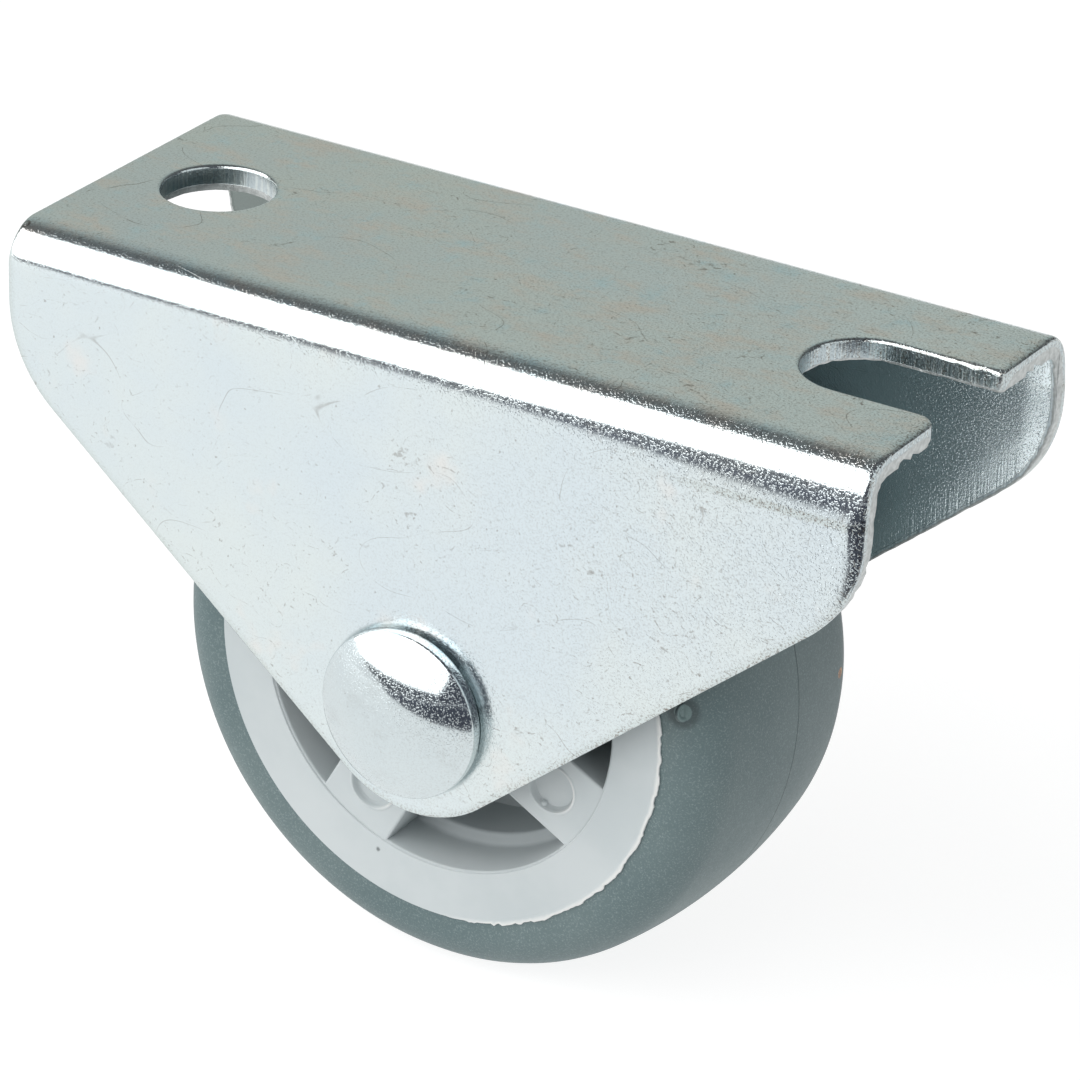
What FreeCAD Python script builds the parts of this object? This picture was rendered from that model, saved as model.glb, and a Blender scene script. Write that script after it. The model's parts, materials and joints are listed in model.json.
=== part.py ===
"""Fixed furniture caster: a folded sheet-steel bracket, a shoulder rivet for its axle,
a spoked plastic wheel core and the soft tyre moulded round the core.

Frame, in millimetres: the origin is the middle of the bracket's mounting face, +Z is up out of
that face, X runs along the bracket and Y along the axle, with the rivet's head on the -Y side.
"""
import FreeCAD, Part
import math
import os

import Sketcher

SIZES = [
    ("plate_length", 60.0, "bracket, end to end along X"),
    ("bracket_width", 25.0, "bracket, outside its two flanges"),
    ("sheet", 1.4, "thickness of the steel sheet"),
    ("bend_radius", 1.4, "inside radius of the two folds"),
    ("screw_hole", 7.2, "diameter of the round screw hole"),
    ("hole_from_end", 7.0, "middle of that hole, from the bracket's end"),
    ("slot_width", 7.8, "width of the open screw slot"),
    ("slot_from_end", 7.0, "middle of the slot's round end, from the bracket's end"),
    ("mouth_round", 0.9, "rounding of the slot's two mouth corners"),
    ("roll_radius", 0.35, "punch roll-over on the sheet's outer edges"),
    ("top_gap", 2.4, "room between the tyre and the sheet above it"),
    ("tip_radius", 7.55, "flange tip, round the axle"),
    ("corner_radius", 8.8, "flange corner below each end"),
    ("flank_angle", 39.5, "slope of the flange's lower edges, degrees"),
    ("shank_diameter", 6.0, "rivet shank that the wheel turns on"),
    ("tenon_diameter", 5.0, "stepped end of the rivet in the far flange"),
    ("rivet_fit", 0.03, "radial play of the rivet in the flanges"),
    ("head_diameter", 10.9, "rivet head"),
    ("head_edge", 1.5, "straight edge of the rivet head"),
    ("head_dome", 1.9, "rise of the rivet head's dome"),
    ("head_round", 0.3, "rounding between that edge and the dome"),
    ("tail_diameter", 8.6, "formed head on the far flange"),
    ("tail_edge", 0.5, "straight edge of the formed head"),
    ("tail_dome", 1.1, "rise of the formed head's dome"),
    ("wheel_diameter", 40.0, "tyre, over its crown"),
    ("tyre_depth", 4.25, "tyre, from the core's rim to its crown"),
    ("tyre_step", 0.1, "tyre's sidewalls inside the core's rim faces"),
    ("shoulder_radius", 2.85, "tyre, between tread and sidewall"),
    ("crown_radius", 38.0, "tyre, curve across the tread"),
    ("key_height", 1.45, "height of the rib that keys the tyre, above the core's rim"),
    ("key_width", 7.0, "width of that rib"),
    ("bore_clearance", 0.05, "radial running clearance on the shank"),
    ("hub_diameter", 13.0, "core, outside its hub"),
    ("hub_stand", 1.2, "hub faces beyond the core's rim faces"),
    ("end_play", 2.0, "play of the hub between the flanges"),
    ("head_gap", 0.2, "part of that play on the rivet head's side"),
    ("rim_wall", 3.35, "core's rim, across its face"),
    ("draft_width", 0.35, "taper of the pockets' outer wall, down to the ledge"),
    ("ledge_depth", 3.2, "ledge in the pockets, below the rim face"),
    ("ledge_width", 0.9, "ledge in the pockets, across"),
    ("web_thickness", 4.0, "disc between hub and rim"),
    ("spoke_count", 4, "ribs on each side of the disc"),
    ("spoke_width", 5.3, "width of a rib"),
    ("step_depth", 0.1, "rib faces below the rim face"),
    ("spoke_angle", 61.0, "turn of the ribs from +X, degrees"),
    ("recess_diameter", 3.0, "round recess in each rib"),
    ("recess_depth", 0.6, "depth of a recess"),
]

# Formulas for the sizes and places that follow from those.
INSIDE = "(sizes.bracket_width / 2 - sizes.sheet)"
HOLE_PLACE = "(sizes.plate_length / 2 - sizes.hole_from_end)"
SLOT_PLACE = "(sizes.plate_length / 2 - sizes.slot_from_end)"
AXLE_DROP = "(sizes.sheet + sizes.top_gap + sizes.wheel_diameter / 2)"
HUB_LENGTH = f"(2 * {INSIDE} - sizes.end_play)"
WHEEL_SHIFT = "(sizes.end_play / 2 - sizes.head_gap)"
RIM_FACE = f"({HUB_LENGTH} / 2 - sizes.hub_stand)"
RIM_RADIUS = "(sizes.wheel_diameter / 2 - sizes.tyre_depth)"
RIM_INSIDE = f"({RIM_RADIUS} - sizes.rim_wall)"
KEY_RADIUS = f"({RIM_RADIUS} + sizes.key_height)"

doc = FreeCAD.newDocument("fixed_caster")
sheet = doc.addObject("Spreadsheet::Sheet", "sizes")
for row, (alias, value, meaning) in enumerate(SIZES, start=1):
    sheet.set(f"A{row}", meaning)
    sheet.set(f"B{row}", str(value))
    sheet.setAlias(f"B{row}", alias)
doc.recompute()

# Sketch geometry ids: the sketch's own origin and axes, and the points of a line or arc.
ORIGIN = (-1, 1)
ACROSS_AXIS, ALONG_AXIS = range(-1, -3, -1)
START, END, CENTRE = range(1, 4)
UP = FreeCAD.Vector(0, 0, 1)


def size(formula):
    """Present value of a formula on the sheet's cells."""
    return float(sheet.evalExpression(formula))


def new_body(label):
    body = doc.addObject("PartDesign::Body", label)
    body.Label = label
    return body


def plane_of(body, role):
    return next(feature for feature in body.Origin.OriginFeatures if feature.Role == role)


def new_sketch(body, name, plane):
    sketch = body.newObject("Sketcher::SketchObject", name)
    sketch.AttachmentSupport = [(plane_of(body, plane), "")]
    sketch.MapMode = "FlatFace"
    return sketch


def line(sketch, start, end):
    return sketch.addGeometry(Part.LineSegment(FreeCAD.Vector(*start, 0), FreeCAD.Vector(*end, 0)))


def arc(sketch, centre, radius, first, last):
    """Arc drawn anticlockwise between two angles in radians."""
    circle = Part.Circle(FreeCAD.Vector(*centre, 0), UP, radius)
    return sketch.addGeometry(Part.ArcOfCircle(circle, first, last))


def rule(sketch, kind, *where):
    sketch.addConstraint(Sketcher.Constraint(kind, *where))


def bind(sketch, name, formula, kind, *where):
    """Add a dimension to a sketch and tie it to a formula."""
    number = sketch.addConstraint(Sketcher.Constraint(kind, *where, size(formula)))
    sketch.renameConstraint(number, name)
    sketch.setExpression(f"Constraints.{name}", formula)


def pin_point(sketch, name, point, across, along):
    """Tie a point to two formulas, measured from the sketch's origin."""
    if across == "0":
        rule(sketch, "PointOnObject", *point, ALONG_AXIS)
    else:
        bind(sketch, f"across_{name}", across, "DistanceX", *ORIGIN, *point)
    if along == "0":
        rule(sketch, "PointOnObject", *point, ACROSS_AXIS)
    else:
        bind(sketch, f"along_{name}", along, "DistanceY", *ORIGIN, *point)


def chain(sketch, corners, closed):
    """Straight lines through named corners, each corner tied to its two formulas."""
    places = [(size(across), size(along)) for name, across, along in corners]
    ends = places[1:] + places[:1] if closed else places[1:]
    lines = [line(sketch, start, end) for start, end in zip(places, ends)]
    for before, after in zip(lines, lines[1:]):
        rule(sketch, "Coincident", before, END, after, START)
    if closed:
        rule(sketch, "Coincident", lines[-1], END, lines[0], START)
    for number, (name, across, along) in enumerate(corners):
        point = (lines[number], START) if number < len(lines) else (lines[-1], END)
        pin_point(sketch, name, point, across, along)
    return lines


def round_hole(sketch, name, across, along, diameter):
    place = FreeCAD.Vector(size(across), size(along), 0)
    ring = sketch.addGeometry(Part.Circle(place, UP, size(diameter) / 2))
    pin_point(sketch, name, (ring, CENTRE), across, along)
    bind(sketch, f"diameter_{name}", diameter, "Diameter", ring)


def add_feature(body, kind, name, profile, **settings):
    """Feature on a sketch. A setting written as text in brackets is a formula."""
    feature = body.newObject(f"PartDesign::{kind}", name)
    feature.Profile = profile
    for key, setting in settings.items():
        if isinstance(setting, list):
            feature.setExpression(key, setting[0])
        else:
            setattr(feature, key, setting)
    doc.recompute()
    return feature


def spin(body, name, sketch):
    """Solid of revolution about the body's Y axis."""
    return add_feature(body, "Revolution", name, sketch, ReferenceAxis=(sketch, ["V_Axis"]), Angle=360)


def mirror_whole(body, name):
    """The far half of a body that has been modelled on one side of its XZ plane."""
    feature = body.newObject("PartDesign::Mirrored", name)
    feature.TransformMode = "Whole shape"
    feature.MirrorPlane = (plane_of(body, "XZ_Plane"), [""])
    body.Tip = feature
    doc.recompute()


def ring_of(body, name, original):
    """Copies of a feature round the body's Y axis, one for each spoke."""
    feature = body.newObject("PartDesign::PolarPattern", name)
    feature.Originals = [original]
    feature.Axis = (plane_of(body, "Y_Axis"), [""])
    feature.Angle = 360
    feature.setExpression("Occurrences", "sizes.spoke_count")
    body.Tip = feature
    doc.recompute()
    return feature


def round_edges(body, name, radius, wanted):
    """Fillet on the edges of the body's last feature whose middle point is wanted."""
    base = body.Tip
    names = []
    for number, edge in enumerate(base.Shape.Edges, start=1):
        middle = edge.valueAt((edge.FirstParameter + edge.LastParameter) / 2)
        if wanted(middle):
            names.append(f"Edge{number}")
    feature = body.newObject("PartDesign::Fillet", name)
    feature.Base = (base, names)
    feature.setExpression("Radius", radius)
    doc.recompute()
    return feature


def near(value, formula):
    return abs(value - size(formula)) < 1e-4


def make_bracket():
    """Blank of one sheet, folded down twice into a channel with pointed flanges."""
    body = new_body("bracket")
    half = size("sizes.plate_length / 2")
    drop = size(AXLE_DROP)
    tip = size("sizes.tip_radius")
    corner = size("sizes.corner_radius")
    slope = math.radians(size("sizes.flank_angle"))
    touch = (tip * math.sin(slope), -drop - tip * math.cos(slope))
    reach = half - corner
    corner_height = touch[1] + (corner + (reach - touch[0]) * math.sin(slope)) / math.cos(slope)
    foot = (reach + corner * math.sin(slope), corner_height - corner * math.cos(slope))

    side = new_sketch(body, "side_outline", "XZ_Plane")
    top = line(side, (-half, 0), (half, 0))
    right_end = line(side, (half, 0), (half, corner_height))
    right_corner = arc(side, (reach, corner_height), corner, slope - math.pi / 2, 0)
    right_flank = line(side, foot, touch)
    nose = arc(side, (0, -drop), tip, -slope - math.pi / 2, slope - math.pi / 2)
    left_flank = line(side, (-touch[0], touch[1]), (-foot[0], foot[1]))
    left_corner = arc(side, (-reach, corner_height), corner, math.pi, 1.5 * math.pi - slope)
    left_end = line(side, (-half, corner_height), (-half, 0))
    rule(side, "Coincident", top, END, right_end, START)
    rule(side, "Tangent", right_end, END, right_corner, END)
    rule(side, "Tangent", right_corner, START, right_flank, START)
    rule(side, "Tangent", right_flank, END, nose, END)
    rule(side, "Tangent", nose, START, left_flank, START)
    rule(side, "Tangent", left_flank, END, left_corner, END)
    rule(side, "Tangent", left_corner, START, left_end, START)
    rule(side, "Coincident", left_end, END, top, START)
    rule(side, "Horizontal", top)
    rule(side, "Vertical", right_end)
    rule(side, "Vertical", left_end)
    rule(side, "Symmetric", top, START, top, END, *ORIGIN)
    rule(side, "Equal", right_corner, left_corner)
    rule(side, "Horizontal", right_corner, CENTRE, left_corner, CENTRE)
    bind(side, "length", "sizes.plate_length", "DistanceX", top, START, top, END)
    pin_point(side, "axle", (nose, CENTRE), "0", f"-{AXLE_DROP}")
    bind(side, "nose_radius", "sizes.tip_radius", "Radius", nose)
    bind(side, "corner_radius", "sizes.corner_radius", "Radius", right_corner)
    number = side.addConstraint(Sketcher.Constraint("Angle", right_flank, slope - math.pi))
    side.renameConstraint(number, "flank")
    side.setExpression("Constraints.flank", "(sizes.flank_angle - 180) * 1 deg")
    add_feature(body, "Pad", "blank", side, SideType="Symmetric", Length=["sizes.bracket_width"])

    channel = new_sketch(body, "channel_section", "YZ_Plane")
    below = f"-{AXLE_DROP} - 2 * sizes.tip_radius"
    chain(channel, [("a", f"-{INSIDE}", below), ("b", INSIDE, below),
                    ("c", INSIDE, "-sizes.sheet"), ("d", f"-{INSIDE}", "-sizes.sheet")], closed=True)
    add_feature(body, "Pocket", "channel", channel, SideType="Symmetric", Length=["2 * sizes.plate_length"])

    round_edges(body, "fold_inside", "sizes.bend_radius",
                lambda p: near(p.z, "-sizes.sheet") and near(abs(p.y), INSIDE))
    round_edges(body, "fold_outside", "sizes.bend_radius + sizes.sheet",
                lambda p: near(p.z, "0") and near(abs(p.y), "sizes.bracket_width / 2"))

    screws = new_sketch(body, "screw_holes", "XY_Plane")
    round_hole(screws, "screw", f"-{HOLE_PLACE}", "0", "sizes.screw_hole")
    slot_half = "sizes.slot_width / 2"
    beyond = "sizes.plate_length / 2 + sizes.slot_width"
    sides = chain(screws, [("a", SLOT_PLACE, f"-{slot_half}"), ("b", beyond, f"-{slot_half}"),
                           ("c", beyond, slot_half), ("d", SLOT_PLACE, slot_half)], closed=False)
    round_end = arc(screws, (size(SLOT_PLACE), 0), size(slot_half), math.pi / 2, 1.5 * math.pi)
    rule(screws, "Coincident", sides[-1], END, round_end, START)
    rule(screws, "Coincident", round_end, END, sides[0], START)
    bind(screws, "slot_end", SLOT_PLACE, "DistanceX", *ORIGIN, round_end, CENTRE)
    add_feature(body, "Pocket", "screw_openings", screws, Length=["2 * sizes.sheet"])

    near_hole = new_sketch(body, "shank_hole", "XZ_Plane")
    round_hole(near_hole, "shank", "0", f"-{AXLE_DROP}", "sizes.shank_diameter + 2 * sizes.rivet_fit")
    add_feature(body, "Pocket", "shank_opening", near_hole, Reversed=True, Length=["sizes.bracket_width"])
    far_hole = new_sketch(body, "tenon_hole", "XZ_Plane")
    round_hole(far_hole, "tenon", "0", f"-{AXLE_DROP}", "sizes.tenon_diameter + 2 * sizes.rivet_fit")
    add_feature(body, "Pocket", "tenon_opening", far_hole, Length=["sizes.bracket_width"])

    round_edges(body, "slot_mouth", "sizes.mouth_round",
                lambda p: near(p.z, "-sizes.sheet / 2") and near(p.x, "sizes.plate_length / 2"))
    hole_edge, slot_edge = f"-{HOLE_PLACE} - sizes.screw_hole / 2", f"{SLOT_PLACE} - {slot_half}"
    round_edges(body, "rolled_edges", "sizes.roll_radius",
                lambda p: near(p.z, "0") and (near(p.x, hole_edge) or near(p.x, slot_edge)))
    return body


def cap(sketch, radius, rim, rise, way):
    """Arc of a shallow dome centred on the axis, between its rim and its top; way is its sign along Y."""
    rim_radius, height = size(radius), size(rise)
    ball = (rim_radius ** 2 + height ** 2) / (2 * height)
    spread = math.asin(rim_radius / ball)
    first = -math.pi / 2 if way < 0 else math.pi / 2 - spread
    dome = arc(sketch, (0, size(rim) - way * (ball - height)), ball, first, first + spread)
    rule(sketch, "PointOnObject", dome, CENTRE, ALONG_AXIS)
    return dome


def make_axle_rivet():
    """Turned shoulder rivet: domed head, shank for the wheel, stepped end formed over the far flange."""
    body = new_body("axle_rivet")
    body.setExpression("Placement.Base.z", f"-{AXLE_DROP}")
    face = "sizes.bracket_width / 2"
    section = new_sketch(body, "half_section", "XY_Plane")
    head_radius, tail_radius = "sizes.head_diameter / 2", "sizes.tail_diameter / 2"
    shank_radius, tenon_radius = "sizes.shank_diameter / 2", "sizes.tenon_diameter / 2"
    head_rim, tail_rim = f"-({face} + sizes.head_edge)", f"{face} + sizes.tail_edge"
    head_top, tail_top = f"{head_rim} - sizes.head_dome", f"{tail_rim} + sizes.tail_dome"
    outline = chain(section, [
        ("head_rim", head_radius, head_rim), ("head_seat", head_radius, f"-{face}"),
        ("shank_root", shank_radius, f"-{face}"), ("shoulder", shank_radius, f"{face} - sizes.sheet"),
        ("tenon_root", tenon_radius, f"{face} - sizes.sheet"), ("tenon_end", tenon_radius, face),
        ("tail_seat", tail_radius, face), ("tail_rim", tail_radius, tail_rim)], closed=False)
    axis = chain(section, [("tail_top", "0", tail_top), ("head_top", "0", head_top)], closed=False)[0]
    head_cap = cap(section, head_radius, head_rim, "sizes.head_dome", -1)
    tail_cap = cap(section, tail_radius, tail_rim, "sizes.tail_dome", 1)
    rule(section, "Coincident", axis, END, head_cap, START)
    rule(section, "Coincident", head_cap, END, outline[0], START)
    rule(section, "Coincident", outline[-1], END, tail_cap, START)
    rule(section, "Coincident", tail_cap, END, axis, START)
    spin(body, "rivet", section)
    round_edges(body, "head_rim", "sizes.head_round", lambda p: near(p.y, head_rim))
    return body


def make_wheel_core():
    """Moulded core: hub with a plain bore, disc, stepped rim and flush ribs with round recesses."""
    body = new_body("wheel_core")
    body.Placement.Rotation = FreeCAD.Rotation(FreeCAD.Vector(0, -1, 0), size("sizes.spoke_angle"))
    body.setExpression("Placement.Rotation.Angle", "sizes.spoke_angle * 1 deg")
    body.setExpression("Placement.Base.y", f"-{WHEEL_SHIFT}")
    body.setExpression("Placement.Base.z", f"-{AXLE_DROP}")
    hub_face, web_face = f"{HUB_LENGTH} / 2", "sizes.web_thickness / 2"
    bore, hub = "sizes.shank_diameter / 2 + sizes.bore_clearance", "sizes.hub_diameter / 2"
    ledge_top, ledge_outside = f"{RIM_FACE} - sizes.ledge_depth", f"{RIM_INSIDE} - sizes.draft_width"
    ledge_inside = f"{ledge_outside} - sizes.ledge_width"
    rib_face = f"{RIM_FACE} - sizes.step_depth"
    section = new_sketch(body, "half_section", "XY_Plane")
    chain(section, [
        ("bore_middle", bore, "0"), ("bore_end", bore, hub_face), ("hub_end", hub, hub_face),
        ("hub_root", hub, web_face), ("web_end", ledge_inside, web_face),
        ("ledge_inside", ledge_inside, ledge_top), ("ledge_outside", ledge_outside, ledge_top),
        ("rim_inside", RIM_INSIDE, RIM_FACE), ("rim_outside", RIM_RADIUS, RIM_FACE),
        ("key_root", RIM_RADIUS, "sizes.key_width / 2"), ("key_end", KEY_RADIUS, "sizes.key_width / 2"),
        ("key_middle", KEY_RADIUS, "0")], closed=True)
    spin(body, "hub_web_and_rim", section)

    rib = new_sketch(body, "rib_plan", "XZ_Plane")
    rib_half, inner_end = "sizes.spoke_width / 2", "(sizes.hub_diameter + sizes.shank_diameter) / 4"
    outer_end = f"{RIM_INSIDE} + sizes.rim_wall / 2"
    chain(rib, [("a", inner_end, f"-{rib_half}"), ("b", outer_end, f"-{rib_half}"),
                ("c", outer_end, rib_half), ("d", inner_end, rib_half)], closed=True)
    spoke = add_feature(body, "Pad", "rib", rib, Reversed=True, Length=[rib_face])
    ring_of(body, "ribs", spoke)

    dimple = new_sketch(body, "recess_plan", "XZ_Plane")
    round_hole(dimple, "recess", f"({hub} + {RIM_INSIDE}) / 2", "0", "sizes.recess_diameter")
    dimple.setExpression("AttachmentOffset.Base.z", f"-({rib_face})")
    recess = add_feature(body, "Pocket", "recess", dimple, Reversed=True, Length=["sizes.recess_depth"])
    ring_of(body, "recesses", recess)
    mirror_whole(body, "both_sides")
    return body


def make_tyre():
    """Soft tyre moulded over the core's rim and keyed by its rib."""
    body = new_body("tyre")
    body.setExpression("Placement.Base.y", f"-{WHEEL_SHIFT}")
    body.setExpression("Placement.Base.z", f"-{AXLE_DROP}")
    wall, key_side = f"({RIM_FACE} - sizes.tyre_step)", "sizes.key_width / 2"
    outside = "sizes.wheel_diameter / 2"
    crown, shoulder = size("sizes.crown_radius"), size("sizes.shoulder_radius")
    crown_centre = size(outside) - crown
    shoulder_along = size(wall) - shoulder
    shoulder_across = crown_centre + math.sqrt((crown - shoulder) ** 2 - shoulder_along ** 2)
    turn = math.atan2(shoulder_along, shoulder_across - crown_centre)

    section = new_sketch(body, "half_section", "XY_Plane")
    seat = chain(section, [("groove_middle", KEY_RADIUS, "0"), ("groove_end", KEY_RADIUS, key_side),
                           ("seat_root", RIM_RADIUS, key_side), ("seat_end", RIM_RADIUS, wall)], closed=False)
    sidewall = line(section, (size(RIM_RADIUS), size(wall)), (shoulder_across, size(wall)))
    corner = arc(section, (shoulder_across, shoulder_along), shoulder, turn, math.pi / 2)
    tread = arc(section, (crown_centre, 0), crown, 0, turn)
    middle = line(section, (size(outside), 0), (size(KEY_RADIUS), 0))
    rule(section, "Coincident", seat[-1], END, sidewall, START)
    rule(section, "Horizontal", sidewall)
    rule(section, "Tangent", sidewall, END, corner, END)
    rule(section, "Tangent", corner, START, tread, END)
    rule(section, "Coincident", tread, START, middle, START)
    rule(section, "Coincident", middle, END, seat[0], START)
    rule(section, "PointOnObject", tread, CENTRE, ACROSS_AXIS)
    pin_point(section, "crown", (middle, START), outside, "0")
    bind(section, "shoulder", "sizes.shoulder_radius", "Radius", corner)
    bind(section, "crown_curve", "sizes.crown_radius", "Radius", tread)
    spin(body, "tread_and_sidewall", section)
    mirror_whole(body, "both_sides")
    return body


nodes = [make_bracket(), make_axle_rivet(), make_wheel_core(), make_tyre()]
doc.recompute()

for item in doc.Objects:
    if "Invalid" in item.State or "Error" in item.State:
        raise RuntimeError(f"{item.Name} failed: {item.State}")
for node in nodes:
    if node.Shape.isNull() or not node.Shape.isValid() or len(node.Shape.Solids) != 1:
        raise RuntimeError(f"{node.Label} is not one valid solid")

os.makedirs("parts", exist_ok=True)
for node in nodes:
    node.Shape.exportStep(f"parts/{node.Label}.step")
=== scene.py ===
"""Fixed furniture caster: folded zinc-plated bracket, spoked wheel core, soft tyre and axle rivet.

Meshes are drawn in millimetres in the part's own frame and scaled to metres when they are finished:
X along the bracket, Y along the axle with the rivet's head at -Y, Z up from the mounting face.
"""
import json
import math
from types import SimpleNamespace

import bmesh
import bpy
from mathutils import Matrix, Vector, noise


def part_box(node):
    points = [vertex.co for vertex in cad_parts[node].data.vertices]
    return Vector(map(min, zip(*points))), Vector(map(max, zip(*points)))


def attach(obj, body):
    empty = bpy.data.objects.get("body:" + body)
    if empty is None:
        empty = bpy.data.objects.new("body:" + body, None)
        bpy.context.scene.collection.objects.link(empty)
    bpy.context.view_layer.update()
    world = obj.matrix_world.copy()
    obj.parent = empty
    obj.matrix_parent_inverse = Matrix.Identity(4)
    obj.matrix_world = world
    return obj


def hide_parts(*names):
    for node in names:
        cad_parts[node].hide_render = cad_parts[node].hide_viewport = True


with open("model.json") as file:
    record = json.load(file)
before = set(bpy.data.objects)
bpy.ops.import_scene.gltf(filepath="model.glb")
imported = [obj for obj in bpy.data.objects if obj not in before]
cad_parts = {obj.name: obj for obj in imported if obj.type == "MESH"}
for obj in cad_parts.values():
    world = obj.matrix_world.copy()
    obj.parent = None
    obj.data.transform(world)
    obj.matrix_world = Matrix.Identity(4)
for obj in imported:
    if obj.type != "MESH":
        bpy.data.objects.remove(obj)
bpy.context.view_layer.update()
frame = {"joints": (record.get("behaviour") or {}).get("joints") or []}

# Bracket: one blank of steel sheet, punched with a round screw hole and an open slot, then folded down
# twice into a channel with two pointed flanges. The punch rolls the outer edges over and tears the inner
# half of every cut wall, and the whole piece is bright zinc plated afterwards.
MM = 0.001
low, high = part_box("bracket")
half_length = (high.x - low.x) / 2 / MM
half_width = (high.y - low.y) / 2 / MM
axle = Vector(frame["joints"][0]["pos_m"]) / MM
sheet = 1.4
fold_radius = 2.8
tip_radius = axle.z - low.z / MM
corner_radius = 8.8
flank_slope = math.radians(39.5)
screw_place = 23.0
screw_radius = 3.6
slot_half = 3.9
mouth_front = 1.2
mouth_back = 0.4
rivet_hole = 3.03
head_shift = Vector((-0.34, 0, -0.46))
head_place = Vector((0, -half_width, axle.z)) + head_shift
step = 0.5

flat_half = half_width - fold_radius
fold_arc = fold_radius * math.pi / 2
fold_end = flat_half + fold_arc
ease_angle = math.radians(16)
fold_cuts = 24
fine_cut = 0.3
coarse_cut = 4.0
flat_enough = 0.9999


def run_to(bm, vert, x, y):
    """Straight run of a wire from its last vertex to a new corner, in short steps."""
    way = Vector((x, y, 0)) - vert.co
    steps = max(1, round(way.length / step))
    made = bmesh.ops.spin(bm, geom=[vert], axis=(0, 0, 1), dvec=way / steps, angle=0, steps=steps)
    return next(item for item in made["geom_last"] if isinstance(item, bmesh.types.BMVert))


def turn(bm, vert, x, y, angle):
    """Arc of a wire from its last vertex about a centre, anticlockwise where the angle is positive."""
    radius = (vert.co - Vector((x, y, 0))).length
    steps = max(4, round(radius * abs(angle) / step))
    made = bmesh.ops.spin(bm, geom=[vert], cent=(x, y, 0), axis=(0, 0, 1), angle=angle, steps=steps)
    return next(item for item in made["geom_last"] if isinstance(item, bmesh.types.BMVert))


def close_ring(bm, first, last):
    """Joins the end of a wire to its start and returns the ring's vertices in the order they were drawn."""
    second = first.link_edges[0].other_vert(first)
    bmesh.ops.pointmerge(bm, verts=[first, last], merge_co=first.co.copy())
    start = first if first.is_valid else last
    ring = [start, second]
    while len(ring) < 3 or ring[-1] is not start:
        ring.append(next(edge.other_vert(ring[-1]) for edge in ring[-1].link_edges
                         if edge.other_vert(ring[-1]) is not ring[-2]))
    return ring[:-1]


def left_of(ring):
    """Unit directions to the left of each vertex of a ring in its plane."""
    sides = []
    for number, vert in enumerate(ring):
        ahead = ring[(number + 1) % len(ring)].co - ring[number - 1].co
        sides.append(Vector((-ahead.y, ahead.x, 0)).normalized())
    return sides


def edges_of(ring):
    """Edges along a ring of vertices."""
    following = ring[1:] + ring[:1]
    return [next(edge for edge in vert.link_edges if edge.other_vert(vert) is after)
            for vert, after in zip(ring, following)]


def next_ring(bm, ring, place):
    """Extrudes a ring of edges and moves each new vertex to the place given for its number."""
    made = bmesh.ops.extrude_edge_only(bm, edges=edges_of(ring))
    new = {item for item in made["geom"] if isinstance(item, bmesh.types.BMVert)}
    outer = []
    for number, vert in enumerate(ring):
        twin = next(edge.other_vert(vert) for edge in vert.link_edges if edge.other_vert(vert) in new)
        twin.co = place(number)
        outer.append(twin)
    return outer


def smooth_step(low_end, high_end, value):
    """Rises softly from 0 at one end to 1 at the other."""
    share = min(1, max(0, (value - low_end) / (high_end - low_end)))
    return share * share * (3 - 2 * share)


def flange_at(drop):
    """Distance across the flat blank, from its middle, to a height below the mounting face."""
    return flat_half + fold_arc + drop - fold_radius


def blank_outline(bm):
    """Outer edge of the flat blank, drawn anticlockwise from the back corner of the slot's mouth."""
    across_axle = flange_at(-axle.z)
    foot_x = tip_radius * math.sin(flank_slope)
    foot_y = across_axle + tip_radius * math.cos(flank_slope)
    reach = half_length - corner_radius
    heel_x = reach + corner_radius * math.sin(flank_slope)
    heel_y = foot_y - (heel_x - foot_x) * math.tan(flank_slope)
    corner_y = heel_y - corner_radius * math.cos(flank_slope)
    quarter = math.pi / 2

    first = bm.verts.new((half_length, slot_half + mouth_back, 0))
    vert = first
    for side in (1, -1):
        vert = run_to(bm, vert, side * half_length, side * corner_y)
        vert = turn(bm, vert, side * reach, side * corner_y, quarter - flank_slope)
        vert = run_to(bm, vert, side * foot_x, side * foot_y)
        vert = turn(bm, vert, 0, side * across_axle, 2 * flank_slope)
        vert = run_to(bm, vert, -side * heel_x, side * heel_y)
        vert = turn(bm, vert, -side * reach, side * corner_y, quarter - flank_slope)
    vert = run_to(bm, vert, half_length, -slot_half - mouth_front)
    vert = turn(bm, vert, half_length - mouth_front, -slot_half - mouth_front, quarter)
    vert = run_to(bm, vert, screw_place, -slot_half)
    vert = turn(bm, vert, screw_place, 0, -math.pi)
    vert = run_to(bm, vert, half_length - mouth_back, slot_half)
    vert = turn(bm, vert, half_length - mouth_back, slot_half + mouth_back, quarter)
    return close_ring(bm, first, vert)


def punched_hole(bm, x, y, radius):
    """Edge of a round hole in the blank, drawn clockwise so that the metal is on its left."""
    first = bm.verts.new((x + radius, y, 0))
    vert = turn(bm, first, x, y, -2 * math.pi)
    return close_ring(bm, first, vert)


def rough(x, y, size, seed):
    """Uneven value between about -1 and 1 at a place, the same on every run."""
    return noise.fractal(Vector((x / size, y / size, seed)), 1.0, 2.0, 3)


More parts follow.
